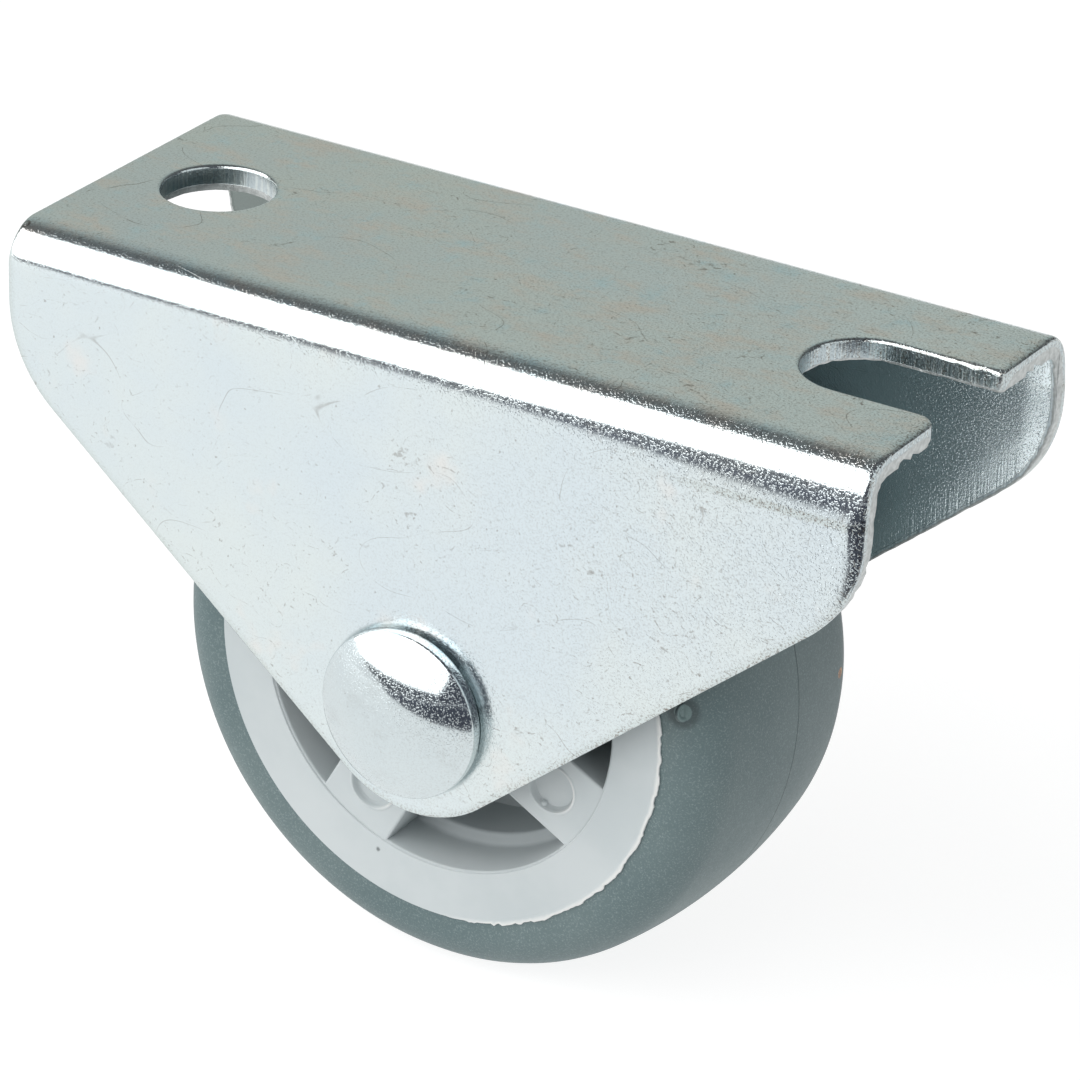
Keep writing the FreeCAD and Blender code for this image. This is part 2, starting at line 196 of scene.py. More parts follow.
def edge_form(x, y):
    """Width and depth of the rolled edge at a place on the blank, how straight its slope is, the depth where
    the tear starts, how badly the inner edge is chipped, and how far a burr stands below the sheet."""
    in_slot = smooth_step(slot_half + 1.6, slot_half + 0.3, abs(y)) * smooth_step(10, 14, x)
    at_end = smooth_step(half_length - 1.5, half_length - 0.1, x) * (1 - in_slot)
    on_flange = smooth_step(flat_half + 1, flat_half + 5, abs(y))
    in_fold = smooth_step(flat_half - 1, flat_half, abs(y)) * smooth_step(fold_end + 1, fold_end, abs(y))
    in_hole = smooth_step(6.5, 5.5, math.hypot(x + screw_place, y))
    punched = max(in_slot, in_hole)
    nibbled = max(0, 0.3 + 1.6 * rough(x, y, 1.1, 8.0))
    bruised = in_slot * smooth_step(25.5, 27.5, x) * smooth_step(0, 2, y) * nibbled
    width = 0.5 + (0.3 + 0.25 * on_flange - 0.4 * in_fold) * at_end - 0.2 * punched
    width += 0.3 * on_flange * (1 - at_end) + 0.35 * bruised
    depth = 0.17 + (0.05 + 0.07 * on_flange + 0.05 * in_fold) * at_end + 0.06 * punched + 0.3 * bruised
    slope = 0.6 * on_flange * at_end * (1 - in_fold)
    tear = 0.42 + 0.8 * punched + 0.12 * at_end
    chip = (0.08 + 0.2 * at_end) * (1 - 0.9 * in_fold)
    burr = 0.3 * in_hole
    return width, depth, slope, tear, chip, burr


def cut_edge(bm, ring, cut):
    """Rolled edge, sheared wall and torn lower wall along one ring of the blank. The cut value rises along
    the roll, is a half on the sheared wall and one where the wall is torn.
    Returns the rings that bound the outer and the inner skin."""
    roll_steps = 7
    lump_size = 0.45
    tear_lean = 0.05
    lip_width = 0.55
    base = [vert.co.copy() for vert in ring]
    inward = left_of(ring)
    forms = [edge_form(point.x, point.y) for point in base]

    def place(number, inset, depth):
        point = base[number] + inward[number] * inset
        return Vector((point.x, point.y, -depth))

    def roll_place(number, sweep):
        width, depth, slope = forms[number][:3]
        inset = (1 - math.sin(math.pi / 2 * sweep)) * (1 - slope) + (1 - sweep) * slope
        fall = (1 - math.cos(math.pi / 2 * sweep)) * (1 - slope) + sweep * slope
        return place(number, width * inset, depth * fall)

    def tear_place(number, share):
        point = base[number]
        start, chip, burr = forms[number][3:]
        lumps = rough(point.x, point.y, lump_size, share * 5)
        bite = max(0, lumps) * chip * share
        inset = tear_lean * share + tear_lean * share * lumps + bite
        return place(number, inset, start + (sheet + burr - start) * share - bite)

    for number, vert in enumerate(ring):
        vert.co = roll_place(number, 1)
        vert[cut] = 0.5
    upper = ring
    for turn_step in range(roll_steps - 1, -1, -1):
        sweep = turn_step / roll_steps
        upper = next_ring(bm, upper, lambda number: roll_place(number, sweep))
        for vert in upper:
            vert[cut] = 0.4 * sweep
    lower = ring
    for share in (0.0, 0.2, 0.6, 1.0):
        lower = next_ring(bm, lower, lambda number: tear_place(number, share))
        for vert in lower:
            vert[cut] = 1.0 if share else 0.5
    lower = next_ring(bm, lower, lambda number: place(number, lip_width, sheet))
    for vert in lower:
        vert[cut] = 0.0
    return upper, lower


def fold_down(vert):
    """Moves a vertex of the flat blank to its place on the folded channel.
    Towards the slot's end the fold runs out into the flange over a longer stretch."""
    x, across, height = vert.co
    along = abs(across) - flat_half
    if along <= 0:
        return
    run_out = 0.6 + 0.7 * smooth_step(-25, 5, x) + 1.4 * smooth_step(4, 28, x)
    soft_radius = run_out / ease_angle
    sharp_turn = math.pi / 2 - ease_angle
    sharp_radius = (fold_radius - soft_radius * (1 - math.sin(sharp_turn))) / math.sin(sharp_turn)
    sharp_fall = sharp_radius * (1 - math.cos(sharp_turn))
    end = fold_arc + sharp_fall + soft_radius * math.cos(sharp_turn) - fold_radius
    turned = math.pi / 2
    out = fold_radius
    fall = fold_radius + along - fold_arc
    if along < end:
        path = along / end * (sharp_radius * sharp_turn + soft_radius * ease_angle)
        turned = path / sharp_radius
        out = sharp_radius * math.sin(turned)
        fall = sharp_radius * (1 - math.cos(turned))
        if turned > sharp_turn:
            turned = sharp_turn + (path - sharp_radius * sharp_turn) / soft_radius
            out = sharp_radius * math.sin(sharp_turn)
            out += soft_radius * (math.sin(turned) - math.sin(sharp_turn))
            fall = sharp_fall + soft_radius * (math.cos(sharp_turn) - math.cos(turned))
    side = math.copysign(1, across)
    vert.co = (x, side * (flat_half + out + height * math.sin(turned)), -fall + height * math.cos(turned))


def cut_across(bm, axis, places):
    """Divides every face where it crosses the given places along an axis."""
    for place in places:
        geom = bm.verts[:] + bm.edges[:] + bm.faces[:]
        bmesh.ops.bisect_plane(bm, geom=geom, dist=1e-5, plane_co=axis * place, plane_no=axis)


def finish_piece(bm, name, body, node, material, crease):
    """Turns a mesh in millimetres into a piece that stands for a node and rides on its body.
    Edges that turn more than the crease angle stay crisp."""
    bmesh.ops.scale(bm, vec=(MM, MM, MM), verts=bm.verts)
    bm.normal_update()
    for edge in bm.edges:
        edge.smooth = edge.is_manifold and edge.calc_face_angle(0) < math.radians(crease)
    mesh = bpy.data.meshes.new(name)
    bm.to_mesh(mesh)
    bm.free()
    mesh.materials.append(material)
    piece = bpy.data.objects.new(name, mesh)
    bpy.context.scene.collection.objects.link(piece)
    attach(piece, body)
    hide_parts(node)


class Value:
    """A socket of a material's node tree, so that shader maths is written as plain sums."""

    def __init__(self, tree, socket):
        self.tree = tree
        self.socket = socket

    def node(self, kind, settings, sockets, out=0):
        """Adds a node: its settings are set first, then its sockets get their values or links."""
        made = self.tree.nodes.new(kind)
        for name, setting in settings.items():
            if name == "stops":
                ramp = made.color_ramp.elements
                while len(ramp) < len(setting):
                    ramp.new(0.5)
                for element, (position, colour) in zip(ramp, setting):
                    element.position = position
                    element.color = colour
            else:
                setattr(made, name, setting)
        for name, given in sockets.items():
            if isinstance(given, Value):
                self.tree.links.new(given.socket, made.inputs[name])
            else:
                made.inputs[name].default_value = given
        return Value(self.tree, made.outputs[out])

    def maths(self, operation, *others):
        return self.node("ShaderNodeMath", {"operation": operation}, dict(enumerate((self, *others))))

    def __add__(self, other):
        return self.maths("ADD", other)

    __radd__ = __add__

    def __mul__(self, other):
        return self.maths("MULTIPLY", other)

    __rmul__ = __mul__

    def __sub__(self, other):
        return self.maths("SUBTRACT", other)

    def __rsub__(self, other):
        return self.node("ShaderNodeMath", {"operation": "SUBTRACT"}, {0: other, 1: self})

    def between(self, start, end):
        """0 up to one value, 1 from another, with a soft rise between them."""
        return self.node("ShaderNodeMapRange", {"interpolation_type": "SMOOTHSTEP"},
                         {"Value": self, "From Min": start, "From Max": end})

    def tint(self, first, second):
        """Colour that goes from the first to the second as this value goes from 0 to 1."""
        return self.node("ShaderNodeMix", {"data_type": "RGBA"}, {0: self, 6: first, 7: second}, out=2)

    def stretched(self, scale, origin=(0, 0, 0)):
        """Coordinates scaled to the size of a pattern, in patterns for each metre."""
        return self.node("ShaderNodeMapping", {}, {"Vector": self, "Location": origin, "Scale": scale})

    def speckle(self, scale, detail=2.0, roughness=0.5):
        """Cloudy value about 0.5 on these coordinates, with features for each metre."""
        return self.node("ShaderNodeTexNoise", {}, {
            "Vector": self, "Scale": scale, "Detail": detail, "Roughness": roughness})


def new_finish(name, constants):
    """Material with one glossy shader, and the object's own coordinates to draw its patterns on."""
    material = bpy.data.materials.new(name)
    material.use_nodes = True
    tree = material.node_tree
    shader = tree.nodes["Principled BSDF"]
    for socket, value in constants.items():
        shader.inputs[socket].default_value = value
    coordinates = tree.nodes.new("ShaderNodeTexCoord")
    return material, shader, Value(tree, coordinates.outputs["Object"])


def connect(shader, **values):
    """Links values to the shader's sockets, with _ for a space in a socket's name."""
    for name, value in values.items():
        value.tree.links.new(value.socket, shader.inputs[name.replace("_", " ")])


def coordinate(place, axis):
    """One coordinate of a place, in millimetres."""
    return place.node("ShaderNodeSeparateXYZ", {}, {"Vector": place}, out=axis) * (1 / MM)


def away_from(place, point):
    """Distance from a point, in millimetres."""
    distance = place.node("ShaderNodeVectorMath", {"operation": "DISTANCE"}, {0: place, 1: point * MM}, out=1)
    return distance * (1 / MM)


def spot(place, point, inner, outer):
    """1 near a point, fading to 0 between the two distances."""
    return 1 - away_from(place, point).between(inner, outer)


def relief(height, depth, strength):
    """Bump from a height, where a height of 1 stands the depth in millimetres above the surface."""
    return height.node("ShaderNodeBump", {}, {"Strength": strength, "Distance": depth * MM, "Height": height})


def scratches(place, scale, seed, dashes, amount, width):
    """Scattered hair-like scratches: contour lines of a smooth cloud, broken into uneven dashes."""
    moved = place.stretched(scale, origin=(seed, seed / 2, -seed))
    contour = (moved.speckle(1.0, 1.5, 0.4) - 0.5).maths("ABSOLUTE")
    broken = moved.speckle(dashes, 3.0, 0.6).between(1 - amount, 1.12 - amount)
    return (1 - contour.between(0.0, width)) * broken


def plate_zones(place):
    """Places where the bracket's plating differs, each a value from 0 to 1."""
    x, y, z = (coordinate(place, axis) for axis in "XYZ")
    normal = place.node("ShaderNodeTexCoord", {}, {}, out="Normal")
    upward = normal.node("ShaderNodeSeparateXYZ", {}, {"Vector": normal}, out="Z").between(0.6, 0.95)
    wall_line = half_width - sheet
    within = 1 - y.maths("ABSOLUTE").between(wall_line, wall_line + 0.2)
    inside = within * (1 - z.between(-1.6, -1.2))
    flank_foot = low.z / MM + tip_radius * (1 - 1 / math.cos(flank_slope))
    above_flank = z - (x.maths("ABSOLUTE") * math.tan(flank_slope) + flank_foot)
    die_height = -3.9
    on_die_line = 1 - (z - die_height).maths("ABSOLUTE").between(0.12, 0.4)
    cut = place.node("ShaderNodeAttribute", {"attribute_name": "cut"}, {}, out=2)
    return SimpleNamespace(
        upward=upward,
        slot_haze=upward * x.between(-20, 30),
        slot_edge=x.between(26.2, 29),
        handled=(x + place.speckle(90.0) * 20).between(-8, 36),
        die_line=on_die_line * x.between(14, 24),
        round_head=spot(place, head_place, 5.8, 7.2) * (1 - inside),
        # painted shade: a dark teal ring on the flange round the rivet's head, standing in for the dark gap
        # under it
        head_seat_shade=spot(place, head_place, 5.45, 5.75) * (1 - inside),
        inside=inside,
        # painted shade: inside the channel towards its left end the colour is darkened, and the plate is also
        # rougher
        dull_and_shaded=inside * (1 - x.between(-24, -16)),
        # painted light: inside the channel towards its open right end the colour is made paler, and the plate
        # is also rougher and bumpier
        lit_open_end=inside * x.between(17, 31),
        end_roll=inside * x.between(27.7, 32.1),
        flank_roll=inside * (1 - above_flank.between(-0.6, 3.4)) * x.between(8, 20),
        dragged=inside * (1 - above_flank.between(0.8, 3.2)) * x.between(4, 14),
        worn=cut.between(0.02, 0.3),
        sheared=cut.between(0.38, 0.48),
        torn=(cut + place.speckle(2400.0, 3.0) * 0.5 - 0.25).between(0.62, 0.82))


def plate_marks(place, zone, scratched):
    """Hair scratches, finer ones, and all dark marks together: scratches, nicks, pits, grain and smudges."""
    used = (place.speckle(120.0, 3.0, 0.6) + zone.handled * 0.15).between(0.48, 0.66) * 0.7 + 0.3
    hairs = scratches(place, (70.0, 120.0, 120.0), seed=3.0, dashes=3.0, amount=0.54, width=0.0022)
    fine_hairs = scratches(place, (240.0, 340.0, 340.0), seed=11.0, dashes=8.0, amount=0.53, width=0.007)
    nicks = scratches(place, (800.0, 900.0, 900.0), seed=23.0, dashes=4.0, amount=0.46, width=0.04)
    hairs, fine_hairs, nicks = hairs * scratched, fine_hairs * used * scratched, nicks * used * scratched
    pits = place.speckle(2700.0, 2.0).between(0.69, 0.78)
    smudge = place.speckle(420.0, 4.0, 0.6).between(0.52, 0.75) * (1 - scratched)
    grain = place.speckle(6900.0, 2.0, 0.65).between(0.45, 0.7)
    coarse = zone.handled * (zone.worn * 0.6 + 0.17) + zone.worn * 0.15 + zone.upward * 0.32
    marks = hairs * (zone.upward * 0.35 + 0.4) + fine_hairs * (zone.upward * 0.2 + 0.55)
    marks = marks + nicks * 0.6 + pits * 0.45 + smudge * 0.12 + grain * (coarse + zone.die_line * 0.8 + 0.05)
    return hairs, fine_hairs, marks


def plate_colour(place, zone, cloud, striped, marks, scratched, first, second):
    """Cloudy zinc with haze, stains, wear, marks, painted shade and painted light laid over it in turn, and
    the tear's broken metal.
    """
    warm = place.speckle(190.0, 3.0, 0.55).between(0.61, 0.8)
    tan = place.stretched((0.55, 1.0, 1.0)).speckle(360.0, 5.0, 0.7).between(0.45, 0.7)
    moved = place.stretched((1.0, 1.0, 1.0), origin=(0.31, 0.17, 0.0))
    teal = moved.speckle(330.0, 5.0, 0.7).between(0.5, 0.75)
    plate = cloud.between(0.32, 0.68).tint(first, second)
    layers = (
        (zone.slot_haze * 0.8, (0.745, 0.825, 0.85, 1)),
        (warm * 0.45, (0.82, 0.73, 0.665, 1)),
        (tan * zone.upward * 0.85, (0.77, 0.695, 0.645, 1)),
        (teal * zone.upward * 0.9, (0.58, 0.755, 0.83, 1)),
        (zone.worn * 0.4 + zone.die_line * 0.5, (0.52, 0.58, 0.56, 1)),
        (marks, (0.25, 0.235, 0.215, 1)),
        # painted shade round the rivet's head
        (zone.head_seat_shade * 0.55 * scratched, (0.12, 0.18, 0.19, 1)),
        (zone.inside * 0.8 - zone.lit_open_end * 0.5, (0.64, 0.78, 0.81, 1)),
        # painted light inside the channel towards its open right end
        (zone.lit_open_end * 0.7, (0.82, 0.9, 0.92, 1)),
        (zone.sheared * striped.between(0.42, 0.6) * 0.4, (0.28, 0.36, 0.42, 1)),
        # painted shade inside the channel towards its left end
        (zone.dull_and_shaded * 0.85, (0.13, 0.147, 0.13, 1)))
    for share, colour in layers:
        plate = share.tint(plate, colour)
    lumps = place.speckle(3000.0, 3.0).between(0.3, 0.7)
    return zone.torn.tint(plate, lumps.tint((0.46, 0.484, 0.478, 1), (0.61, 0.635, 0.63, 1)))


def zinc_plate(name, roughness, fineness, flatness, grain_depth, end_depth, scratched, first, second):
    """Bright zinc on steel: fine grain, coarser towards the slot's end, cloudy tints and hair scratches, with
    tan and blue mottling on the face that lay under the punch. Inside the channel the plate is duller, with
    painted shade towards the left end and painted light towards the open right end, and the wall rolls off
    towards its cut edges. A ring of painted shade lies round the rivet's head. Where the piece carries a cut
    value, the rolled edge is worn and the torn wall is matt and broken."""
    material, shader, place = new_finish(name, {})
    zone = plate_zones(place)
    cloud = place.speckle(60.0, 4.0, 0.6)
    striped = place.stretched((7000.0, 7000.0, 350.0)).speckle(1.0, 2.0)
    pimples = place.speckle(5200.0 * fineness, 1.0, 0.5).between(flatness, flatness + 0.15)
    fine_grain = place.speckle(11000.0, 2.0, 0.6)
    hairs, fine_hairs, marks = plate_marks(place, zone, scratched)

    depth = (zone.handled + zone.slot_edge) * end_depth + zone.round_head * 0.15 + grain_depth
    depth = depth * (1 - zone.inside) + zone.inside * 0.2 + zone.lit_open_end * 0.75
    height = pimples * depth + fine_grain * zone.inside * 0.6 - hairs * 0.2 - fine_hairs * 0.15
    height = height + (zone.dragged * 1.3 + zone.sheared * 1.2) * striped
    height = height + zone.torn * place.speckle(1900.0, 4.0) * 1.8
    height = height - zone.end_roll * 21.0 - zone.flank_roll * 8.0
    shine = cloud * 0.06 + (roughness - 0.03) + zone.sheared * 0.16 + zone.torn * 0.22 + zone.dull_and_shaded * 0.2
    shine = shine + zone.round_head * 0.05 + zone.lit_open_end * 0.06
    connect(shader, Base_Color=plate_colour(place, zone, cloud, striped, marks, scratched, first, second),
            Roughness=shine, Metallic=1 - zone.inside * 0.1, Normal=relief(height, 0.02, 1.0))
    return material


bm = bmesh.new()
cut_layer = bm.verts.layers.float.new("cut")
across_axle = flange_at(-axle.z)
rings = [blank_outline(bm), punched_hole(bm, -screw_place, 0, screw_radius)]
rings += [punched_hole(bm, 0, side * across_axle, rivet_hole) for side in (1, -1)]
bounds = [cut_edge(bm, ring, cut_layer) for ring in rings]
for skin in zip(*bounds):
    skin_edges = [edge for ring in skin for edge in edges_of(ring)]
    bmesh.ops.triangle_fill(bm, use_beauty=True, edges=skin_edges, normal=(0, 0, 1))
lines = [flat_half - fine_cut + fold_arc * number / fold_cuts for number in range(fold_cuts + 3)]
lines += [fold_end + fine_cut * number for number in range(1, 12)]
cut_across(bm, Vector((0, 1, 0)), [side * line for line in lines for side in (1, -1)])
cut_across(bm, Vector((1, 0, 0)), [coarse_cut * number for number in range(-7, 8)])
bmesh.ops.recalc_face_normals(bm, faces=bm.faces)
for face in bm.faces:
    across = abs(face.calc_center_median().y)
    face.smooth = abs(face.normal.z) < flat_enough or lines[0] < across < lines[-1]
for vert in bm.verts:
    fold_down(vert)
sheet_finish = zinc_plate(
    "zinc_sheet_finish", roughness=0.135, fineness=1.3, flatness=0.52, grain_depth=0.14, end_depth=0.21,
    scratched=1.0, first=(0.64, 0.715, 0.75, 1), second=(0.685, 0.745, 0.74, 1))
finish_piece(bm, "folded_bracket", "bracket_frame", "bracket", sheet_finish, crease=50)

# Wheel core: one light grey plastic moulding with a plain bore, a long hub, a disc, four ribs on each side
# with a round ejector recess, and a rim. It is the same on both sides, so one half is made and mirrored.
core_low, core_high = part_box("wheel_core")
hub_face = (core_high.y - core_low.y) / 2 / MM
hub_radius = 6.5
bore_radius = 3.05
rim_face = hub_face - 1.2
rib_face = rim_face - 0.1
rim_radius = 15.75
rim_inside = 12.4
key_radius = 17.2
key_half = 3.5
web_face = 2.0
rib_half = 2.65
rib_angle = math.radians(61)
ledge_depth = 3.2
ledge_inside = 11.15
recess_radius = 1.5
recess_place = (hub_radius + rim_inside) / 2
recess_depth = 0.36
nib_place = (7.62, -5.88, rib_face - 0.3)
nib_radius = 0.24
fleck_place = Vector((-4.08, -9.7, -36.39))
turns = 480


def circle_ring(bm, radius, height):
    """Ring of vertices round the wheel's axis."""
    made = bmesh.ops.create_circle(bm, radius=radius, segments=turns)
    bmesh.ops.translate(bm, vec=(0, 0, height), verts=made["verts"])
    return made["verts"]


def rings_out(bm, ring, profile):
    """Extrudes a ring through a profile of radii and heights, each a number or a function of the angle."""
    angles = [math.atan2(vert.co.y, vert.co.x) for vert in ring]
    for radius, height in profile:
        def place(number):
            far = radius(angles[number]) if callable(radius) else radius
            up = height(angles[number]) if callable(height) else height
            return Vector((far * math.cos(angles[number]), far * math.sin(angles[number]), up))
        ring = next_ring(bm, ring, place)
    return ring


def flash(angle):
    """Share of moulding flash on the rim's edge at an angle, strongest on the lower right."""
    degrees = math.degrees(angle)
    return smooth_step(-92, -70, degrees) * smooth_step(14, 6, degrees)


def flash_edge(base, spread, seed):
    """Ragged radius of the flash's edge, broken off in steps and nibbled between them."""
    def radius(angle):
        ledge = smooth_step(-0.05, 0.05, rough(angle * 11, seed, 1.0, seed))
        nibble = rough(angle * 48, seed, 1.0, seed + 7)
        return base + spread * flash(angle) * (0.3 + 0.6 * ledge + 0.45 * nibble)
    return radius


def flash_height(base, rise):
    return lambda angle: base + rise * flash(angle)


def pocket_ring(bm, centre_angle):
    """Top edge of one pocket between two ribs, drawn anticlockwise at the height of the ribs."""
    half = math.pi / 4

    def corner(radius, sign):
        along = math.sqrt(radius ** 2 - rib_half ** 2)
        lean = centre_angle + sign * (half - math.atan2(rib_half, along))
        return radius * math.cos(lean), radius * math.sin(lean)

    outer, inner = rim_inside - 0.1, hub_radius + 0.12
    outer_sweep = 2 * (half - math.asin(rib_half / outer))
    inner_sweep = 2 * (half - math.asin(rib_half / inner))
    first = bm.verts.new((*corner(outer, -1), 0))
    vert = turn(bm, first, 0, 0, outer_sweep)
    vert = run_to(bm, vert, *corner(inner, 1))
    vert = turn(bm, vert, 0, 0, -inner_sweep)
    vert = run_to(bm, vert, *corner(outer, -1))
    return close_ring(bm, first, vert)


def sink_pocket(bm, ring):
    """Drafted wall, soft ledge, deep wall and floor of a pocket. Each step has its inset from the pocket's
    edge, its depth below the rib face and its greatest radius. Returns the ring that bounds the rib face."""
    base = [vert.co.copy() for vert in ring]
    inward = left_of(ring)

    def place(number, inset, depth, limit):
        point = base[number] + inward[number] * inset
        point *= min(1, limit / point.length)
        return Vector((point.x, point.y, rib_face - depth))

    edge_round = 0.14
    for number, vert in enumerate(ring):
        vert.co = place(number, -edge_round, 0, rim_inside)
    top = ring
    floor_depth = rib_face - web_face
    steps = ((-0.5 * edge_round, 0.02, 13), (-0.12 * edge_round, 0.07, 13), (0, 0.16, 13), (0.02, 0.5, 12.25),
             (0.1, ledge_depth - 0.35, 12.02), (0.1, ledge_depth - 0.14, 11.95),
             (0.1, ledge_depth - 0.03, 11.8), (0.1, ledge_depth, 11.5), (0.1, ledge_depth + 0.05, 11.27),
             (0.1, ledge_depth + 0.16, 11.18), (0.1, ledge_depth + 0.35, ledge_inside),
             (0.2, floor_depth - 0.4, ledge_inside - 0.08), (0.32, floor_depth - 0.1, ledge_inside - 0.2),
             (0.6, floor_depth, ledge_inside - 0.5))
    for inset, depth, limit in steps:
        ring = next_ring(bm, ring, lambda number: place(number, inset, depth, limit))
    bmesh.ops.triangle_fill(bm, use_beauty=True, edges=edges_of(ring), normal=(0, 0, 1))
    return top


def sink_recess(bm, angle):
    """Shallow round ejector recess with a low lip, painted paler on its +X side as a highlight.
    Returns the ring that bounds the rib face.
    """
    centre = Vector((recess_place * math.cos(angle), recess_place * math.sin(angle), 0))
    made = bmesh.ops.create_circle(bm, radius=1.0, segments=56)["verts"]
    ways = [vert.co.copy() for vert in made]

    def place(number, radius, depth):
        return centre + ways[number] * radius + Vector((0, 0, rib_face - depth))

    for number, vert in enumerate(made):
        vert.co = place(number, recess_radius + 0.24, 0)
    ring = made
    steps = ((0.2, -0.03, 0), (0.13, -0.06, 0.8), (0.06, -0.05, 1), (0, 0.02, 0.8), (-0.04, 0.14, 0),
             (-0.08, recess_depth - 0.1, 0), (-0.18, recess_depth, 0))
    for wider, depth, pale in steps:
        ring = next_ring(bm, ring, lambda number: place(number, recess_radius + wider, depth))
        for number, vert in enumerate(ring):
            # painted highlight: the lip is made paler on its +X side only
            vert[flash_and_highlight_layer] = pale * max(0, ways[number].x)
    bmesh.ops.triangle_fill(bm, use_beauty=True, edges=edges_of(ring), normal=(0, 0, 1))
    return made


def core_plastic():
    """Matt light grey plastic with a faint cloud, painted shade deep in the pockets, paler flash, a paler lip
    on one side of each recess as a painted highlight, and one moulded-in dark fleck.
    """
    material, shader, place = new_finish("core_plastic_finish", {"Specular IOR Level": 0.35})
    cloud = place.speckle(140.0, 4.0, 0.6)
    pits = place.speckle(2600.0, 3.0, 0.6)
    # the flash attribute holds real moulding flash and the painted highlight on the recess lips
    pale = place.node("ShaderNodeAttribute", {"attribute_name": "flash"}, {}, out=2)
    fleck = 1 - (away_from(place, fleck_place) + pits * 0.2).between(0.15, 0.3)
    from_middle = (coordinate(place, "Y") - axle.y).maths("ABSOLUTE")
    # painted shade: the plastic is darkened deep in the pockets
    pocket_shade = 1 - from_middle.between(rib_face - 3.0, rib_face - 0.3)
    grey = cloud.between(0.3, 0.7).tint((0.424, 0.467, 0.476, 1), (0.468, 0.507, 0.514, 1))
    grey = (pocket_shade * 0.5).tint(grey, (0.27, 0.30, 0.31, 1))
    grey = (pale * 0.85).tint(grey, (0.64, 0.65, 0.635, 1))
    grey = (fleck * 0.8).tint(grey, (0.08, 0.09, 0.09, 1))
    bump = relief(pits * 0.6 + cloud, 0.02, 0.5)
    connect(shader, Base_Color=grey, Roughness=cloud * 0.1 + 0.45, Normal=bump)
    return material


bm = bmesh.new()
flash_and_highlight_layer = bm.verts.layers.float.new("flash")
rim = circle_ring(bm, key_radius, 0)
rim = rings_out(bm, rim, [(key_radius, key_half), (rim_radius, key_half), (rim_radius, rim_face - 0.12)])
rim = rings_out(bm, rim, [
    (flash_edge(rim_radius, 0.16, 3.0), rim_face - 0.05),
    (flash_edge(rim_radius - 0.03, 0.17, 3.0), flash_height(rim_face, 0.03))])
flash_rings = list(rim)
rim = rings_out(bm, rim, [(flash_edge(rim_radius - 0.1, 0.14, 3.0), flash_height(rim_face, 0.06))])
flash_rings += rim
rim = rings_out(bm, rim, [(flash_edge(rim_radius - 0.24, 0.06, 5.0), flash_height(rim_face, 0.02)),
                          (flash_edge(rim_radius - 0.34, 0.05, 5.0), rim_face)])
rim = rings_out(bm, rim, [(rim_inside + 0.09, rim_face), (rim_inside + 0.05, rim_face - 0.03),
                          (rim_inside + 0.02, rib_face)])
for vert in flash_rings:
    vert[flash_and_highlight_layer] = flash(math.atan2(vert.co.y, vert.co.x))
hub = circle_ring(bm, bore_radius, 0)
hub = rings_out(bm, hub, [(bore_radius, hub_face - 0.25), (bore_radius + 0.25, hub_face),
                          (hub_radius - 0.3, hub_face), (hub_radius - 0.08, hub_face - 0.08),
                          (hub_radius, hub_face - 0.3), (hub_radius, rib_face + 0.1),
                          (hub_radius + 0.05, rib_face)])
quarters = [rib_angle + math.pi / 2 * number for number in range(4)]
openings = [sink_pocket(bm, pocket_ring(bm, angle + math.pi / 4)) for angle in quarters]
openings += [sink_recess(bm, angle) for angle in quarters]
rib_edges = [edge for ring in [rim, hub, *openings] for edge in edges_of(ring)]
bmesh.ops.triangle_fill(bm, use_beauty=True, edges=rib_edges, normal=(0, 0, 1))
bmesh.ops.create_icosphere(bm, subdivisions=3, radius=nib_radius, matrix=Matrix.Translation(nib_place))
bmesh.ops.mirror(bm, geom=bm.verts[:] + bm.edges[:] + bm.faces[:], merge_dist=1e-4, axis="Z")
bmesh.ops.remove_doubles(bm, verts=bm.verts, dist=1e-4)
bmesh.ops.recalc_face_normals(bm, faces=bm.faces)
for face in bm.faces:
    face.smooth = abs(face.normal.z) < flat_enough
to_axle = Matrix.Translation(axle) @ Matrix.Rotation(math.pi / 2, 4, "X")
bmesh.ops.transform(bm, matrix=to_axle, verts=bm.verts)
finish_piece(bm, "spoked_core", "wheel", "wheel_core", core_plastic(), crease=40)

# Tyre: soft slate-grey moulding round the core's rim, keyed by the rim's rib. A faint line runs round the
# tread where the mould parted, and one moulding gate is left on the sidewall as a small button, with a dark
# ring painted round it as the shade of a dimple.
tyre_low, tyre_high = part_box("tyre")
tyre_radius = (tyre_high.z - tyre_low.z) / 2 / MM
tyre_half = (tyre_high.y - tyre_low.y) / 2 / MM
shoulder_radius = 2.85
crown_radius = 38.0
parting_place = 0.3
gate_radius = 17.39
rust_place = Vector((19.46, 5.5, -23.55))
tyre_turns = 240
gate_angle = math.radians(10.75)
crown_centre = tyre_radius - crown_radius
shoulder_along = tyre_half - shoulder_radius
shoulder_across = crown_centre + math.sqrt((crown_radius - shoulder_radius) ** 2 - shoulder_along ** 2)
gate_lean = math.asin((gate_radius - shoulder_across) / shoulder_radius)
gate_turn = Matrix.Rotation(-gate_angle, 4, "Y") @ Matrix.Rotation(math.pi / 2 - gate_lean, 4, "Z")
gate_place = Matrix.Rotation(-gate_angle, 4, "Y") @ Vector((
    gate_radius, -shoulder_along - shoulder_radius * math.cos(gate_lean), 0)) + axle


